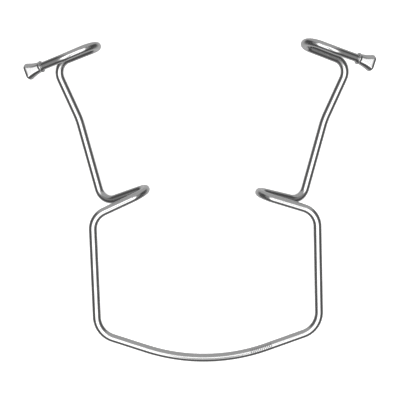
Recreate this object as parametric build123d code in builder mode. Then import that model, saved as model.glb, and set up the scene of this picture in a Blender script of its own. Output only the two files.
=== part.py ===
"""Self-retaining wire lip and cheek retractor, in millimetres.

One length of round spring wire is bent in a flat frame, and a blunt flared cap is
fixed on each of its two ends.  Lying on a table, the two arms touch the table, and the
bow, the legs and the front strands stand well above it.  From both ends of an arm a
rear strand rises to a U-turn, and each capped strand dips towards its cap.  X runs
across the mouth, Y from the chin bow to the upper hooks, and Z up from the table.  The
origin is at the middle of the frame, on the table.

The wire is cut at plain stations into spans, because the bow and the two lip bends
flex, and each stiff stretch between them moves as one piece.
"""

from build123d import *

import os
from dataclasses import dataclass
from math import cos, radians

os.makedirs("parts", exist_ok=True)

# The wire and the heights at which its strands run.
wire_radius = 1.35
arm_height = wire_radius
rear_tip_height = 8.9
front_height = 17.0

# Each U-turn is two bends: one from the front strand, and a tighter one to the rear.
u_turn_front_radius = 5.4
u_turn_rear_radius = 4.1

# The capped strand dips in one gentle bend, and enters its cap at this height.
cap_mouth_height = 13.55

# The bow under the chin: one wide arc between two straight stretches.
bow_vertex = (2.4, -54.6)
bow_radius = 61.0
crown_length = 21.0

# The middle of the whole frame's outline, which becomes the origin.
outline_middle = 0.22

# How far the stations between spans lie from the corner point of the bend beside them.
station_from_bow_corner = 7.5
station_from_u_turn = 6.2

# The flared cap on each wire end, measured along its axis from its mouth.
cap_length = 6.2
cap_bore_depth = 4.2
cap_bore_radius = wire_radius + 0.02
wire_end_gap = 0.2
cap_lip_radius = 1.98
cap_lip_length = 0.55
cap_lip_crown = 0.12
cap_neck_radius = 1.76
cap_neck_place = 1.0
cap_rim_radius = 2.8
cap_rim_rounding = 0.8
cap_end_dome = 0.35
cap_flare_hollow = 0.12

# Two flats pressed on the flare, above and below, which open at a slope from the neck.
flats_start = 0.85
flats_half_height = 1.56
flats_slope = 9.0
flats_end = 6.03
flats_end_rounding = 1.1


@dataclass
class Side:
    """Bend points of one half, as (outward, up) from the middle, with their radii."""

    name: str
    outward: int
    bow_corner: tuple
    leg_top: tuple
    lip_tip_front: tuple
    lip_tip_rear: tuple
    arm_foot: tuple
    arm_kink: tuple
    arm_top: tuple
    hook_tip_rear: tuple
    hook_tip_front: tuple
    cap_dip: tuple
    cap_mouth: tuple
    bow_corner_radius: float = 7.5
    leg_top_radius: float = 6.2
    arm_foot_radius: float = 4.5
    arm_kink_radius: float = 26.0
    arm_top_radius: float = 4.9
    cap_dip_radius: float = 12.0

    def point(self, bend, height):
        """The place of one bend point in the frame, at the height of its strand."""
        return Vector(self.outward * bend[0], bend[1] - outline_middle, height)

    def bends(self):
        """The bend points from the bow corner to the dip by the cap, with their radii."""
        return [
            (self.point(self.bow_corner, front_height), self.bow_corner_radius),
            (self.point(self.leg_top, front_height), self.leg_top_radius),
            (self.point(self.lip_tip_front, front_height), u_turn_front_radius),
            (self.point(self.lip_tip_rear, rear_tip_height), u_turn_rear_radius),
            (self.point(self.arm_foot, arm_height), self.arm_foot_radius),
            (self.point(self.arm_kink, arm_height), self.arm_kink_radius),
            (self.point(self.arm_top, arm_height), self.arm_top_radius),
            (self.point(self.hook_tip_rear, rear_tip_height), u_turn_rear_radius),
            (self.point(self.hook_tip_front, front_height), u_turn_front_radius),
            (self.point(self.cap_dip, front_height), self.cap_dip_radius),
        ]

    def station(self, bend, towards, distance):
        """A place on the straight run from one bend point towards the next one."""
        return bend + (towards - bend).normalized() * distance

    def spans(self, crown_end):
        """Each span of this half by name, from the bow's crown to the wire's end."""
        bow_middle = self.point((self.outward * bow_vertex[0], bow_vertex[1]), front_height)
        corner, leg_top, lip_front, lip_rear, foot, _, top, hook_rear, _, _ = [
            place for place, _ in self.bends()
        ]
        bow_end = self.station(corner, bow_middle, station_from_bow_corner)
        lip_start = self.station(lip_front, leg_top, station_from_u_turn)
        lip_end = self.station(lip_rear, foot, station_from_u_turn)
        hook_start = self.station(hook_rear, top, station_from_u_turn)
        return {
            "bow_spring": (crown_end, bow_end),
            "leg": (bow_end, lip_start),
            "lip_bend": (lip_start, lip_end),
            "arm": (lip_end, hook_start),
            "upper_hook": (hook_start, self.wire_end()),
        }

    def cap_axis(self):
        """The direction in which the capped strand runs down into its cap."""
        mouth = self.point(self.cap_mouth, cap_mouth_height)
        return (mouth - self.point(self.cap_dip, front_height)).normalized()

    def wire_end(self):
        """The cut end of the wire, a little short of the bottom of the cap's bore."""
        mouth = self.point(self.cap_mouth, cap_mouth_height)
        return mouth + self.cap_axis() * (cap_bore_depth - wire_end_gap)


# The frame is bent by hand, so the two halves differ by a millimetre or two.
left = Side(
    name="left",
    outward=-1,
    bow_corner=(33.1, -43.2),
    leg_top=(34.8, -5.5),
    lip_tip_front=(17.4, 2.6),
    lip_tip_rear=(17.7, 4.0),
    arm_foot=(32.1, -1.0),
    arm_kink=(39.9, 26.8),
    arm_top=(48.2, 44.9),
    hook_tip_rear=(33.6, 50.0),
    hook_tip_front=(33.3, 50.9),
    cap_dip=(43.8, 46.4),
    cap_mouth=(51.3, 43.65),
)
right = Side(
    name="right",
    outward=1,
    bow_corner=(38.9, -41.6),
    leg_top=(38.2, -3.9),
    lip_tip_front=(19.0, 1.9),
    lip_tip_rear=(19.8, 2.9),
    arm_foot=(33.9, -0.4),
    arm_kink=(41.4, 26.6),
    arm_top=(49.9, 45.2),
    hook_tip_rear=(34.5, 50.5),
    hook_tip_front=(34.3, 52.4),
    cap_dip=(43.7, 48.8),
    cap_mouth=(51.45, 46.3),
)

# The whole wire, from the left cap over the bow to the right cap.
left_bends = left.bends()[::-1]
right_bends = right.bends()
bow_bend = (right.point(bow_vertex, front_height), bow_radius)
all_bends = left_bends + [bow_bend] + right_bends
with BuildLine() as wire_route:
    FilletPolyline(
        left.wire_end(),
        *[point for point, _ in all_bends],
        right.wire_end(),
        radius=[radius for _, radius in all_bends],
    )
route = wire_route.wire()

# The crown is the middle stretch of the bow's wide arc.
bow_arc = route.edges().filter_by(GeomType.CIRCLE).sort_by(Edge.radius)[-1]
crown_middle = route.param_at_point(bow_arc @ 0.5)
crown_half = crown_length / 2 / route.length
crown_left_end = route @ (crown_middle - crown_half)
crown_right_end = route @ (crown_middle + crown_half)

crown_path = route.trim(crown_left_end, crown_right_end)
with BuildPart() as bow_crown:
    with BuildLine():
        add(crown_path)
    with BuildSketch(Plane(crown_path @ 0, z_dir=crown_path % 0)):
        Circle(wire_radius)
    sweep()
bow_crown.part.label = "bow_crown"
export_step(bow_crown.part, "parts/bow_crown.step")

for side, crown_end in ((left, crown_left_end), (right, crown_right_end)):
    for span_name, (start, end) in side.spans(crown_end).items():
        span_path = route.trim(start, end)
        with BuildPart() as wire_span:
            with BuildLine():
                add(span_path)
            with BuildSketch(Plane(span_path @ 0, z_dir=span_path % 0)):
                Circle(wire_radius)
            sweep()
        wire_span.part.label = f"{side.name}_{span_name}"
        export_step(wire_span.part, f"parts/{side.name}_{span_name}.step")

    # The cap is turned round its own axis: a rolled lip at the mouth, a narrow neck, a
    # flare that widens in a shallow hollow, a rounded rim and a slightly domed end.  Flat
    # jaws have pressed the flare above and below, to hold it on the wire.
    mouth = side.point(side.cap_mouth, cap_mouth_height)
    cap_axis = side.cap_axis()
    cap_plane = Plane(mouth, x_dir=cap_axis, z_dir=cap_axis.cross(Vector(0, 0, 1)))
    with BuildPart() as end_cap:
        with BuildSketch(cap_plane):
            with BuildLine():
                rim_start = (cap_length - cap_end_dome - cap_rim_rounding, cap_rim_radius)
                rim_end = (cap_length - cap_end_dome, cap_rim_radius - cap_rim_rounding)
                flare_middle = (
                    (cap_neck_place + rim_start[0]) / 2,
                    (cap_neck_radius + cap_rim_radius) / 2 - cap_flare_hollow,
                )
                lip_edge = cap_lip_radius - cap_lip_crown
                Line((0, cap_bore_radius), (0, lip_edge))
                ThreePointArc((0, lip_edge), (cap_lip_length / 2, cap_lip_radius), (cap_lip_length, lip_edge))
                Line((cap_lip_length, lip_edge), (cap_neck_place, cap_neck_radius))
                flare = ThreePointArc((cap_neck_place, cap_neck_radius), flare_middle, rim_start)
                TangentArc(rim_start, rim_end, tangent=flare % 1)
                TangentArc((cap_length, 0), rim_end, tangent=(0, 1))
                bore_bottom = (cap_bore_depth, cap_bore_radius)
                Polyline((cap_length, 0), (cap_bore_depth, 0), bore_bottom, (0, cap_bore_radius))
            make_face()
        revolve(axis=Axis(mouth, cap_axis))
        with BuildSketch(cap_plane):
            with BuildLine():
                flat_length = (flats_end - flats_end_rounding - flats_start) / cos(radians(flats_slope))
                flat = PolarLine((flats_start, flats_half_height), flat_length, flats_slope)
                end_corner = (flats_end, (flat @ 1).Y - flats_end_rounding)
                end_rounding = TangentArc(flat @ 1, end_corner, tangent=flat % 1)
                past_end = 2 * cap_length
                above = 2 * cap_rim_radius
                Polyline(
                    end_rounding @ 1,
                    (past_end, end_corner[1]),
                    (past_end, above),
                    (flats_start, above),
                    flat @ 0,
                )
            make_face()
            mirror(about=Plane.XZ)
        extrude(amount=2 * cap_rim_radius, both=True, mode=Mode.SUBTRACT)
    end_cap.part.label = f"{side.name}_end_cap"
    export_step(end_cap.part, f"parts/{side.name}_end_cap.step")
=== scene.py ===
"""Looks of a self-retaining wire lip and cheek retractor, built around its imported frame.

Metres throughout.  X runs across the mouth, Y from the chin bow to the upper hooks, and
Z up from the table on which the two arms lie.
"""

import math

import bpy
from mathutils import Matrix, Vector


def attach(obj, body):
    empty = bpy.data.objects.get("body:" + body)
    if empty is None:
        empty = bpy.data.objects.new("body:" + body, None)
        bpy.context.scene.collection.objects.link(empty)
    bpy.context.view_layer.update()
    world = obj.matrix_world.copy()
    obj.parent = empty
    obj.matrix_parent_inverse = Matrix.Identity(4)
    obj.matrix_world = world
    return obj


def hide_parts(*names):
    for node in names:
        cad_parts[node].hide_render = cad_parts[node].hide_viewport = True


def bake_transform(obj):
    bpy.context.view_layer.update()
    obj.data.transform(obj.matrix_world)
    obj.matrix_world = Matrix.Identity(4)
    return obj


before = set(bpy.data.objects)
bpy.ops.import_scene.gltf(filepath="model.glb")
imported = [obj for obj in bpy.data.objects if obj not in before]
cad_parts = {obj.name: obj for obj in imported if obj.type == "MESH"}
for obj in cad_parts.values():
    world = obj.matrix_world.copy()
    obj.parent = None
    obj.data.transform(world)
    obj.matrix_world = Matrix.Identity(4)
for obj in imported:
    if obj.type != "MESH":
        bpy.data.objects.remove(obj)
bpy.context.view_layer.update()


# ---------------------------------------------------------------------------
# The spring wire: one length of hard-drawn stainless round wire, bent by hand
# over pins into the bow, the legs, the two lip bends, the cheek arms and the
# upper hooks, and then polished.  In use it flexes at the bow and at the lip
# bends; the stretches at those places are attached to no body.
# ---------------------------------------------------------------------------
mm = 0.001
wire_radius = 1.35 * mm
arm_height = wire_radius
rear_tip_height = 8.9 * mm
front_height = 17 * mm
cap_mouth_height = 13.55 * mm
outline_middle = 0.22 * mm

# The height of the strand at each bend of one half, and the bend's radius.
half_bends = (
    ("cap_dip", front_height, 12 * mm),
    ("hook_tip_front", front_height, 5.4 * mm),
    ("hook_tip_rear", rear_tip_height, 4.1 * mm),
    ("arm_top", arm_height, 4.9 * mm),
    ("arm_kink", arm_height, 26 * mm),
    ("arm_foot", arm_height, 4.5 * mm),
    ("lip_tip_rear", rear_tip_height, 4.1 * mm),
    ("lip_tip_front", front_height, 5.4 * mm),
    ("leg_top", front_height, 6.2 * mm),
    ("bow_corner", front_height, 7.5 * mm),
)

# Where each bend lies, outward and up from the middle, in millimetres.
left_places = {
    "cap_mouth": (51.3, 43.65),
    "cap_dip": (43.8, 46.4),
    "hook_tip_front": (33.3, 50.9),
    "hook_tip_rear": (33.6, 50.0),
    "arm_top": (48.2, 44.9),
    "arm_kink": (39.9, 26.8),
    "arm_foot": (32.1, -1.0),
    "lip_tip_rear": (17.7, 4.0),
    "lip_tip_front": (17.4, 2.6),
    "leg_top": (34.8, -5.5),
    "bow_corner": (33.1, -43.2),
}
right_places = {
    "cap_mouth": (51.45, 46.3),
    "cap_dip": (43.7, 48.8),
    "hook_tip_front": (34.3, 52.4),
    "hook_tip_rear": (34.5, 50.5),
    "arm_top": (49.9, 45.2),
    "arm_kink": (41.4, 26.6),
    "arm_foot": (33.9, -0.4),
    "lip_tip_rear": (19.8, 2.9),
    "lip_tip_front": (19.0, 1.9),
    "leg_top": (38.2, -3.9),
    "bow_corner": (38.9, -41.6),
}
bow_vertex = (2.4, -54.6)
bow_radius = 61 * mm
crown_length = 21 * mm
wire_in_cap = 4 * mm


def frame_point(outward, place, height):
    """A place of one half, as a point of the frame."""
    return Vector((outward * place[0] * mm, place[1] * mm - outline_middle, height))


def cap_axis(outward, places):
    """The direction in which the capped strand of one half runs down into its cap."""
    mouth = frame_point(outward, places["cap_mouth"], cap_mouth_height)
    return (mouth - frame_point(outward, places["cap_dip"], front_height)).normalized()


def half_route(outward, places):
    """Corner points and radii of one half, from its wire end to the bow corner."""
    mouth = frame_point(outward, places["cap_mouth"], cap_mouth_height)
    route = [(mouth + cap_axis(outward, places) * wire_in_cap, 0.0)]
    for bend, height, radius in half_bends:
        route.append((frame_point(outward, places[bend], height), radius))
    return route


left_route = half_route(-1, left_places)
right_route = half_route(1, right_places)
bow_bend = (frame_point(1, bow_vertex, front_height), bow_radius)
wire_route = left_route + [bow_bend] + right_route[::-1]
bow_bend_index = len(left_route)


def turn_at(index):
    """The angle through which the wire turns at one corner of its route."""
    before = wire_route[index][0] - wire_route[index - 1][0]
    after = wire_route[index + 1][0] - wire_route[index][0]
    return before.angle(after)


def place_along(index, beyond):
    """The length of wire up to a place that lies beyond one corner, or short of it."""
    runs = sum((wire_route[k][0] - wire_route[k - 1][0]).length for k in range(1, index + 1))
    last_passed = index if beyond > 0 else index - 1
    cut_corners = 0.0
    for k in range(1, last_passed + 1):
        turn = turn_at(k)
        cut_corners += wire_route[k][1] * (2 * math.tan(turn / 2) - turn)
    return runs - cut_corners + beyond


class Tree:
    """A node tree, with one way to add any node to it."""

    def __init__(self, tree):
        self.tree = tree

    def add(self, kind, sockets=None, **settings):
        """A new node: its settings first, then the values or links of its sockets."""
        node = self.tree.nodes.new(kind)
        for name, value in settings.items():
            setattr(node, name, value)
        for name, value in (sockets or {}).items():
            if isinstance(value, Value):
                value = value.socket
            if isinstance(value, bpy.types.NodeSocket):
                self.tree.links.new(value, node.inputs[name])
            else:
                node.inputs[name].default_value = value
        return node

    def value(self, kind, output=0, sockets=None, **settings):
        """A number output of a new node, ready for sums."""
        return Value(self, self.add(kind, sockets, **settings).outputs[output])


class Value:
    """A number socket on which Python's own operators add Math nodes."""

    def __init__(self, tree, socket):
        self.tree = tree
        self.socket = socket

    def sum_node(self, operation, first, second=0.0):
        """The outcome of one Math node."""
        node = self.tree.add("ShaderNodeMath", {0: first, 1: second}, operation=operation)
        return Value(self.tree, node.outputs[0])

    def __add__(self, other):
        return self.sum_node("ADD", self, other)

    __radd__ = __add__

    def __sub__(self, other):
        return self.sum_node("SUBTRACT", self, other)

    def __rsub__(self, other):
        return self.sum_node("SUBTRACT", other, self)

    def __mul__(self, other):
        return self.sum_node("MULTIPLY", self, other)

    __rmul__ = __mul__

    def __truediv__(self, other):
        return self.sum_node("DIVIDE", self, other)

    def __gt__(self, other):
        return self.sum_node("GREATER_THAN", self, other)

    def __lt__(self, other):
        return self.sum_node("LESS_THAN", self, other)

    def __abs__(self):
        return self.sum_node("ABSOLUTE", self)

    def at_least(self, other):
        """The greater of the value and another."""
        return self.sum_node("MAXIMUM", self, other)

    def at_most(self, other):
        """The lesser of the value and another."""
        return self.sum_node("MINIMUM", self, other)

    def arccosine(self):
        """The angle in radians whose cosine the value is."""
        return self.sum_node("ARCCOSINE", self)

    def fraction(self):
        """What the value has beyond its whole number."""
        return self.sum_node("FRACT", self)

    def ramp(self, low, high):
        """0 up to low, 1 from high on, and a smooth rise between them."""
        sockets = {"Value": self, "From Min": low, "From Max": high}
        return self.tree.value("ShaderNodeMapRange", 0, sockets, interpolation_type="SMOOTHSTEP")


# The tree fillets the corners of the route, keeps the stretch between two lengths along
# it, and sweeps a round section down that stretch.
bent_wire = bpy.data.node_groups.new("bent_wire", "GeometryNodeTree")
bent_wire_inputs = {}
for input_name, input_kind, input_value in (
    ("Route", "Geometry", None),
    ("Wire Radius", "Float", wire_radius),
    ("Starts At", "Float", 0.0),
    ("Ends At", "Float", 1.0),
    ("Ring Spacing", "Float", 0.4 * mm),
    ("Sides", "Int", 48),
    ("Arc Steps", "Int", 40),
    ("Finish", "Material", None),
):
    socket = bent_wire.interface.new_socket(
        input_name, in_out="INPUT", socket_type=f"NodeSocket{input_kind}"
    )
    if input_value is not None:
        socket.default_value = input_value
    bent_wire_inputs[input_name] = socket.identifier
bent_wire.interface.new_socket("Wire", in_out="OUTPUT", socket_type="NodeSocketGeometry")

steps = Tree(bent_wire)
given = steps.add("NodeGroupInput").outputs
corner_line = steps.add("GeometryNodeMeshToCurve", {"Mesh": given["Route"]})
corner_radius = steps.add(
    "GeometryNodeInputNamedAttribute", {"Name": "bend_radius"}, data_type="FLOAT"
)
filleted = steps.add(
    "GeometryNodeFilletCurve",
    {
        "Curve": corner_line.outputs[0],
        "Count": given["Arc Steps"],
        "Radius": corner_radius.outputs[0],
    },
    mode="POLY",
)
even_line = steps.add(
    "GeometryNodeResampleCurve",
    {"Curve": filleted.outputs[0], "Length": given["Ring Spacing"]},
    mode="LENGTH",
)

# Each ring keeps its place along the whole wire, how sharply the wire bends there, and
# the way its section is turned, so that a finish runs on unbroken over every joint.
length_so_far = steps.value("GeometryNodeSplineParameter", "Length")
ring_index = steps.value("GeometryNodeInputIndex")
tangent = steps.add("GeometryNodeInputTangent").outputs[0]
next_tangent = steps.add(
    "GeometryNodeFieldAtIndex",
    {"Index": ring_index + 1, "Value": tangent},
    data_type="FLOAT_VECTOR",
)
turn_per_ring = steps.value(
    "ShaderNodeVectorMath",
    "Value",
    {0: next_tangent.outputs[0], 1: tangent},
    operation="DISTANCE",
)
section_turn = steps.add("GeometryNodeInputNormal").outputs[0]
marked_line = even_line
for mark, mark_kind, mark_value in (
    ("along", "FLOAT", length_so_far),
    ("bend", "FLOAT", turn_per_ring / given["Ring Spacing"]),
    ("section_turn", "FLOAT_VECTOR", section_turn),
):
    marked_line = steps.add(
        "GeometryNodeStoreNamedAttribute",
        {"Geometry": marked_line.outputs[0], "Name": mark, "Value": mark_value},
        data_type=mark_kind,
        domain="POINT",
    )
stretch = steps.add(
    "GeometryNodeTrimCurve",
    {"Curve": marked_line.outputs[0], "Start": given["Starts At"], "End": given["Ends At"]},
    mode="LENGTH",
)
kept_turn = steps.add(
    "GeometryNodeInputNamedAttribute", {"Name": "section_turn"}, data_type="FLOAT_VECTOR"
)
turned = steps.add(
    "GeometryNodeSetCurveNormal",
    {"Curve": stretch.outputs[0], "Normal": kept_turn.outputs[0]},
    mode="FREE",
)

# The section is a circle whose points keep their own place, for the drawing lines.
section = steps.add(
    "GeometryNodeCurvePrimitiveCircle",
    {"Resolution": given["Sides"], "Radius": given["Wire Radius"]},
    mode="RADIUS",
)
marked_section = steps.add(
    "GeometryNodeStoreNamedAttribute",
    {
        "Geometry": section.outputs[0],
        "Name": "around",
        "Value": steps.add("GeometryNodeInputPosition").outputs[0],
    },
    data_type="FLOAT_VECTOR",
    domain="POINT",
)
swept = steps.add(
    "GeometryNodeCurveToMesh",
    {"Curve": turned.outputs[0], "Profile Curve": marked_section.outputs[0], "Fill Caps": True},
)
smooth = steps.add(
    "GeometryNodeSetShadeSmooth",
    {"Geometry": swept.outputs[0], "Shade Smooth": True},
    domain="FACE",
)
sharpest_smooth_fold = math.radians(40)
fold = steps.value("GeometryNodeInputMeshEdgeAngle", "Unsigned Angle")
cut_edge = fold > sharpest_smooth_fold
edged = steps.add(
    "GeometryNodeSetShadeSmooth",
    {"Geometry": smooth.outputs[0], "Selection": cut_edge, "Shade Smooth": False},
    domain="EDGE",
)
solid = steps.add("GeometryNodeRealizeInstances", {"Geometry": edged.outputs[0]})
finished = steps.add(
    "GeometryNodeSetMaterial", {"Geometry": solid.outputs[0], "Material": given["Finish"]}
)
steps.add("NodeGroupOutput", {"Wire": finished.outputs[0]})


def polished_wire():
    """Drawn and polished stainless wire: fine lines along it, dulled a little by use."""
    material = bpy.data.materials.new("polished_wire_steel")
    material.use_nodes = True
    material.node_tree.nodes.clear()
    shader = Tree(material.node_tree)
    along = shader.value("ShaderNodeAttribute", "Fac", attribute_name="along")
    bend = shader.value("ShaderNodeAttribute", "Fac", attribute_name="bend")
    around = shader.add("ShaderNodeAttribute", attribute_name="around").outputs["Vector"]
    place = shader.add("ShaderNodeTexCoord").outputs["Object"]

    # Drawing lines: narrow round the wire and long down it.
    lines_across = 9000
    lines_along = 110
    narrow = shader.add(
        "ShaderNodeVectorMath",
        {0: around, 1: (lines_across, lines_across, 0)},
        operation="MULTIPLY",
    )
    down = shader.add("ShaderNodeCombineXYZ", {"Z": along * lines_along})
    drawn_place = shader.add(
        "ShaderNodeVectorMath", {0: narrow.outputs[0], 1: down.outputs[0]}, operation="ADD"
    )
    drawn = shader.value(
        "ShaderNodeTexNoise", "Fac", {"Vector": drawn_place.outputs[0], "Scale": 1, "Detail": 3}
    )
    # Haze from handling and from the steriliser, in soft patches.
    haze = shader.value(
        "ShaderNodeTexNoise", "Fac", {"Vector": place, "Scale": 140, "Detail": 4}
    )
    # Short polishing scratches that cross the wire at a slant.
    slant = shader.add(
        "ShaderNodeMapping",
        {"Vector": place, "Rotation": (0.3, 0.2, 0.6), "Scale": (2600, 160, 2600)},
    )
    scratch = shader.value(
        "ShaderNodeTexNoise", "Fac", {"Vector": slant.outputs[0], "Scale": 1, "Detail": 2}
    )
    fine_scratch = scratch.ramp(0.62, 0.74)
    # The tight bends are strained and a little duller.  A bend is one over its radius.
    gentle_bend = 60
    tight_bend = 220
    strain = bend.ramp(gentle_bend, tight_bend)

    # A row of plain etched strokes on the bow, as a batch mark without any lettering.
    # It begins and ends short of the bow's right corner.
    row_begins_short = 23.8 * mm
    row_ends_short = 16.4 * mm
    etched_from = place_along(bow_bend_index + 1, -row_begins_short)
    etched_to = place_along(bow_bend_index + 1, -row_ends_short)
    stroke_spacing = 0.62 * mm
    half_stroke = 0.2
    crest = front_height + 0.80 * wire_radius
    stroke = abs((along / stroke_spacing).fraction() - 0.5) < half_stroke
    height = Value(shader, shader.add("ShaderNodeSeparateXYZ", {0: place}).outputs["Z"])
    etched = stroke * (along > etched_from) * (along < etched_to)
    etched = etched * (height > crest)

    roughness = 0.085 + 0.05 * drawn + 0.09 * haze.ramp(0.45, 0.8) + 0.10 * fine_scratch
    roughness = roughness + 0.05 * strain + 0.28 * etched
    bright = shader.add(
        "ShaderNodeMix",
        {"Factor": 0.55 * haze, "A": (0.72, 0.72, 0.72, 1), "B": (0.60, 0.60, 0.605, 1)},
        data_type="RGBA",
    )
    marked = shader.add(
        "ShaderNodeMix",
        {"Factor": etched, "A": bright.outputs["Result"], "B": (0.22, 0.22, 0.225, 1)},
        data_type="RGBA",
    )
    relief = drawn * 0.7 - 0.5 * fine_scratch - 1.2 * etched
    bump = shader.add(
        "ShaderNodeBump", {"Height": relief, "Strength": 0.16, "Distance": 0.02 * mm}
    )
    steel = shader.add(
        "ShaderNodeBsdfPrincipled",
        {
            "Base Color": marked.outputs["Result"],
            "Metallic": 1.0,
            "Roughness": roughness,
            "Normal": bump.outputs[0],
        },
    )
    shader.add("ShaderNodeOutputMaterial", {"Surface": steel.outputs[0]})
    return material


wire_steel = polished_wire()

corner_mesh = bpy.data.meshes.new("wire_corners")
corner_mesh.from_pydata(
    [point for point, radius in wire_route],
    [(k, k + 1) for k in range(len(wire_route) - 1)],
    [],
)
corner_radii = corner_mesh.attributes.new("bend_radius", "FLOAT", "POINT")
corner_radii.data.foreach_set("value", [radius for point, radius in wire_route])


def sweep_stretch(name, starts_at, ends_at):
    """A plain mesh object of the wire between two lengths along it."""
    carrier = bpy.data.objects.new(f"{name}_route", corner_mesh)
    bpy.context.scene.collection.objects.link(carrier)
    sweep = carrier.modifiers.new("bent_wire", "NODES")
    sweep.node_group = bent_wire
    sweep[bent_wire_inputs["Wire Radius"]] = wire_radius
    sweep[bent_wire_inputs["Starts At"]] = starts_at
    sweep[bent_wire_inputs["Ends At"]] = ends_at
    sweep[bent_wire_inputs["Finish"]] = wire_steel
    graph = bpy.context.evaluated_depsgraph_get()
    mesh = bpy.data.meshes.new_from_object(carrier.evaluated_get(graph))
    mesh.name = name
    bpy.data.objects.remove(carrier)
    piece = bpy.data.objects.new(name, mesh)
    bpy.context.scene.collection.objects.link(piece)
    return piece


# The wire's stretches, from the left cap over the bow to the right cap, with the body
# that each rides on, or the two bodies between which it lies, in which case it is
# attached to neither.
from_u_turn = 6.2 * mm
from_bow_corner = 7.5 * mm
bow_turn = turn_at(bow_bend_index)
bow_arc_end = place_along(bow_bend_index, bow_radius * math.tan(bow_turn / 2))
bow_middle = bow_arc_end - bow_radius * bow_turn / 2
left_corner = {bend: index + 1 for index, (bend, height, radius) in enumerate(half_bends)}
last_index = len(wire_route) - 1
right_corner = {bend: last_index - index for bend, index in left_corner.items()}
stations = [
    0.0,
    place_along(left_corner["hook_tip_rear"], from_u_turn),
    place_along(left_corner["lip_tip_rear"], -from_u_turn),
    place_along(left_corner["lip_tip_front"], from_u_turn),
    place_along(left_corner["bow_corner"], from_bow_corner),
    bow_middle - crown_length / 2,
    bow_middle + crown_length / 2,
    place_along(right_corner["bow_corner"], -from_bow_corner),
    place_along(right_corner["lip_tip_front"], -from_u_turn),
    place_along(right_corner["lip_tip_rear"], from_u_turn),
    place_along(right_corner["hook_tip_rear"], -from_u_turn),
    place_along(last_index, 0.0),
]
stretches = (
    ("left_upper_hook", ("left_cheek_arm",)),
    ("left_arm", ("left_cheek_arm",)),
    ("left_lip_bend", ("left_leg_side", "left_cheek_arm")),
    ("left_leg", ("left_leg_side",)),
    ("left_bow_spring", ("bow", "left_leg_side")),
    ("bow_crown", ("bow",)),
    ("right_bow_spring", ("bow", "right_leg_side")),
    ("right_leg", ("right_leg_side",)),
    ("right_lip_bend", ("right_leg_side", "right_cheek_arm")),
    ("right_arm", ("right_cheek_arm",)),
    ("right_upper_hook", ("right_cheek_arm",)),
)
for (stretch_name, bodies), starts_at, ends_at in zip(stretches, stations, stations[1:]):
    piece = sweep_stretch(f"{stretch_name}_wire", starts_at, ends_at)
    if len(bodies) == 1:
        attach(piece, bodies[0])
    elif "lip_bend" in stretch_name:
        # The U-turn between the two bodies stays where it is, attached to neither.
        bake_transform(piece)
    else:
        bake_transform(piece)
    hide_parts(stretch_name)


# ---------------------------------------------------------------------------
# The end caps: two blunt flared ferrules, turned from stainless bar, pressed on
# the wire's ends so that they cannot scratch.  A rolled lip sits at the mouth.
# ---------------------------------------------------------------------------
# Along the cap's axis from its mouth, and out from the axis, in millimetres.
cap_profile = (
    (4.20, 0.00),
    (4.20, 1.30),
    (4.13, 1.37),
    (0.12, 1.37),
    (0.02, 1.47),
    (0.00, 1.70),
    (0.04, 1.84),
    (0.14, 1.94),
    (0.30, 1.98),
    (0.46, 1.95),
    (0.57, 1.87),
    (0.64, 1.80),
    (0.72, 1.765),
    (0.80, 1.76),
    (0.90, 1.76),
    (1.00, 1.765),
    (1.20, 1.79),
    (1.50, 1.835),
    (1.90, 1.90),
    (2.30, 1.975),
    (2.70, 2.06),
    (3.10, 2.16),
    (3.50, 2.275),
    (3.90, 2.41),
    (4.45, 2.56),
    (4.75, 2.68),
    (4.95, 2.75),
    (5.10, 2.785),
    (5.25, 2.80),
    (5.33, 2.795),
    (5.42, 2.775),
    (5.51, 2.74),
    (5.60, 2.685),
    (5.69, 2.61),
    (5.77, 2.52),
    (5.84, 2.41),
    (5.90, 2.28),
    (5.95, 2.15),
    (5.99, 1.98),
    (6.03, 1.78),
    (6.06, 1.55),
    (6.12, 1.15),
    (6.17, 0.55),
    (6.18, 0.00),
)
bore_rows = 5
cap_sides = 192
flats_start = 0.85
flats_half_height = 1.56
flats_slope = math.tan(math.radians(9))
flats_edge = 0.14
flats_end = 6.03
flats_end_rounding = 1.1


def turned_cap_steel():
    """Bright-turned and polished stainless: fine rings left by the lathe tool."""
    material = bpy.data.materials.new("turned_cap_steel")
    material.use_nodes = True
    material.node_tree.nodes.clear()
    shader = Tree(material.node_tree)
    place = shader.add("ShaderNodeTexCoord").outputs["Object"]
    along = shader.value("ShaderNodeAttribute", "Fac", attribute_name="cap_along")
    rings_along = 9000
    ring = shader.add("ShaderNodeCombineXYZ", {"X": along * rings_along})
    rings = shader.value(
        "ShaderNodeTexNoise", "Fac", {"Vector": ring.outputs[0], "Scale": 1, "Detail": 2}
    )
    haze = shader.value(
        "ShaderNodeTexNoise", "Fac", {"Vector": place, "Scale": 420, "Detail": 4}
    )
    roughness = 0.10 + 0.06 * rings + 0.08 * haze.ramp(0.45, 0.8)
    bright = shader.add(
        "ShaderNodeMix",
        {"Factor": 0.5 * haze, "A": (0.74, 0.74, 0.74, 1), "B": (0.62, 0.62, 0.625, 1)},
        data_type="RGBA",
    )
    bump = shader.add(
        "ShaderNodeBump", {"Height": rings, "Strength": 0.12, "Distance": 0.02 * mm}
    )
    steel = shader.add(
        "ShaderNodeBsdfPrincipled",
        {
            "Base Color": bright.outputs["Result"],
            "Metallic": 1.0,
            "Roughness": roughness,
            "Normal": bump.outputs[0],
        },
    )
    shader.add("ShaderNodeOutputMaterial", {"Surface": steel.outputs[0]})
    return material


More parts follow.
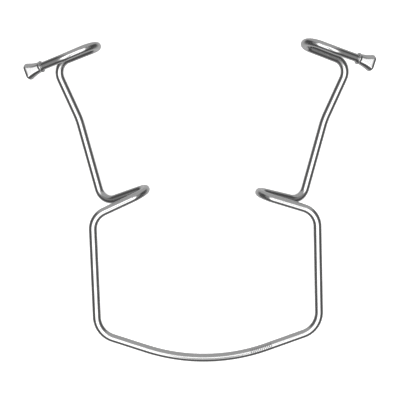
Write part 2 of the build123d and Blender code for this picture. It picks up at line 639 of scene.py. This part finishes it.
def press_flat(place, height):
    """A point's height over the axis, once flat jaws have pressed the flare."""
    room = flats_half_height + (place - flats_start) * flats_slope
    over_end = min(max(place - flats_end + flats_end_rounding, 0.0), flats_end_rounding)
    room -= flats_end_rounding - math.sqrt(flats_end_rounding**2 - over_end**2)
    pressed = min(max((place - flats_start) / flats_edge + 0.5, 0.0), 1.0)
    blend = max(flats_edge - abs(abs(height) - room), 0.0) / flats_edge
    lowered = min(abs(height), room) - blend * blend * flats_edge / 4
    return math.copysign(pressed * lowered + (1 - pressed) * abs(height), height)


def turn_cap(name, mouth, axis):
    """The cap's profile turned round its axis and pressed, as one closed smooth mesh."""
    level_way = axis.cross(Vector((0, 0, 1))).normalized()
    upper_way = level_way.cross(axis)
    points = []
    marks = []
    rows = []
    for place, radius in cap_profile:
        inside_bore = len(rows) < bore_rows
        row = []
        for step in range(1 if radius == 0 else cap_sides):
            angle = 2 * math.pi * step / cap_sides
            level = radius * math.cos(angle)
            height = radius * math.sin(angle)
            if not inside_bore:
                height = press_flat(place, height)
            row.append(len(points))
            points.append(mouth + (axis * place + level_way * level + upper_way * height) * mm)
            marks.append((place + radius) * mm)
        rows.append(row)
    faces = []
    for row, next_row in zip(rows, rows[1:]):
        for step in range(cap_sides):
            following = (step + 1) % cap_sides
            if len(row) == 1:
                faces.append((row[0], next_row[step], next_row[following]))
            elif len(next_row) == 1:
                faces.append((row[step], next_row[0], row[following]))
            else:
                faces.append((row[step], next_row[step], next_row[following], row[following]))
    mesh = bpy.data.meshes.new(name)
    mesh.from_pydata(points, [], faces)
    mesh.attributes.new("cap_along", "FLOAT", "POINT").data.foreach_set("value", marks)
    mesh.shade_smooth()
    cap = bpy.data.objects.new(name, mesh)
    bpy.context.scene.collection.objects.link(cap)
    return cap


cap_steel = turned_cap_steel()
for side, outward, places in (("left", -1, left_places), ("right", 1, right_places)):
    cap_mouth = frame_point(outward, places["cap_mouth"], cap_mouth_height)
    cap = turn_cap(f"{side}_flared_cap", cap_mouth, cap_axis(outward, places))
    cap.data.materials.append(cap_steel)
    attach(cap, f"{side}_cheek_arm")
    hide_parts(f"{side}_end_cap")


# ---------------------------------------------------------------------------
# The table: a plain white sheet, lit from within like a light table, so that
# the polished wire throws next to no shadow on it.
# ---------------------------------------------------------------------------
table_mesh = bpy.data.meshes.new("white_table")
table_half = 4.0
table_mesh.from_pydata(
    [
        (-table_half, -table_half, 0),
        (table_half, -table_half, 0),
        (table_half, table_half, 0),
        (-table_half, table_half, 0),
    ],
    [],
    [(0, 1, 2, 3)],
)
white_sheet = bpy.data.materials.new("white_sheet")
white_sheet.use_nodes = True
white_sheet.node_tree.nodes.clear()
sheet_shader = Tree(white_sheet.node_tree)
sheet_surface = sheet_shader.add(
    "ShaderNodeBsdfPrincipled",
    {
        "Base Color": (0.9, 0.9, 0.9, 1),
        "Roughness": 0.9,
        "Specular IOR Level": 0.1,
        "Emission Color": (1, 1, 1, 1),
        "Emission Strength": 0.75,
    },
)
sheet_shader.add("ShaderNodeOutputMaterial", {"Surface": sheet_surface.outputs[0]})
table_mesh.materials.append(white_sheet)
table = bpy.data.objects.new("white_table", table_mesh)
bpy.context.scene.collection.objects.link(table)
table.visible_glossy = False


# ---------------------------------------------------------------------------
# The studio: a round softbox overhead, leaning towards the bow, a grey wall behind
# the hooks, dark drapes and two dim cards at the sides, and a pale surround below.
# ---------------------------------------------------------------------------
studio = bpy.data.worlds.new("studio")
bpy.context.scene.world = studio
studio.use_nodes = True
studio.node_tree.nodes.clear()
light = Tree(studio.node_tree)
direction = light.add(
    "ShaderNodeSeparateXYZ", {0: light.add("ShaderNodeTexCoord").outputs["Generated"]}
)
toward_x = Value(light, direction.outputs["X"])
toward_y = Value(light, direction.outputs["Y"])
toward_z = Value(light, direction.outputs["Z"])

# How far a direction lies from the softbox's middle, in degrees.
softbox_tilt = math.radians(14)
nearness = toward_z * math.cos(softbox_tilt) - toward_y * math.sin(softbox_tilt)
away = nearness.arccosine() * math.degrees(1)
softbox_core = 28.5
softbox_rim = 35
in_softbox = 1 - away.ramp(softbox_core, softbox_rim)
near_softbox = toward_z.ramp(0.46, 0.62)

# Its spill fades with the same angle, and reaches further on the side of the bow.
spill_core = 24
spill_reach = 50
extra_reach = 16
dimmed_from = 30
dark_from = 90
toward_bow = (0 - toward_y).ramp(0.1, 0.9)
spill = 1 - away.ramp(spill_core, spill_reach + extra_reach * toward_bow)
spill = spill * (1 - away.ramp(dimmed_from, dark_from))

# The wall stands behind the hooks, and the surround fills in all that lies below.
wall_spread = 1.1
behind_hooks = (toward_y - wall_spread * abs(toward_x)).ramp(-0.20, 0.14)
below = 1 - toward_z.ramp(-0.70, -0.02)

# The two side cards, and the dark strip that the camera's column makes across the
# softbox along Y, with a gap at its middle.
card_x = 0.66
card_y = -0.26
side_cards = 1 - abs(abs(toward_x) - card_x).ramp(0.08, 0.20)
side_cards = side_cards * (1 - abs(toward_y - card_y).ramp(0.10, 0.22))
column_x = 0.03
column = (1 - abs(toward_x - column_x).ramp(0.08, 0.14)) * abs(toward_y).ramp(0.08, 0.14)

# How bright each of them is.
drapes = 0.088
drapes_glow = 0.18
wall = 0.46
surround = 0.52
softbox_spill = 0.95
side_card = 0.30
softbox = 2.2
column_paint = 0.6
backdrop_glow = 1.1
radiance = drapes + drapes_glow * near_softbox
radiance = radiance + (wall - radiance) * behind_hooks
radiance = radiance.at_least(surround * below)
radiance = radiance.at_least(softbox_spill * spill)
radiance = radiance.at_least(side_card * side_cards)
radiance = radiance + (softbox - radiance) * in_softbox
radiance = radiance.at_most(softbox - (softbox - column_paint) * column)
seen_by_camera = light.add("ShaderNodeLightPath").outputs["Is Camera Ray"]
lit = light.add("ShaderNodeBackground", {"Color": (1, 1, 1, 1), "Strength": radiance})
backdrop = light.add(
    "ShaderNodeBackground", {"Color": (1, 1, 1, 1), "Strength": backdrop_glow}
)
shown = light.add(
    "ShaderNodeMixShader", {0: seen_by_camera, 1: lit.outputs[0], 2: backdrop.outputs[0]}
)
light.add("ShaderNodeOutputWorld", {"Surface": shown.outputs[0]})


# ---------------------------------------------------------------------------
# The camera: a long lens on a copy stand, looking straight down on the table from
# about seventy centimetres.
# ---------------------------------------------------------------------------
lens = bpy.data.cameras.new("copy_stand_camera")
lens.sensor_width = 36
lens.lens = 194.04
camera = bpy.data.objects.new("copy_stand_camera", lens)
camera_height = 0.717
camera.location = (0.16 * mm, -0.22 * mm, camera_height)
bpy.context.scene.collection.objects.link(camera)
bpy.context.scene.camera = camera
bpy.context.scene.view_settings.view_transform = "Standard"
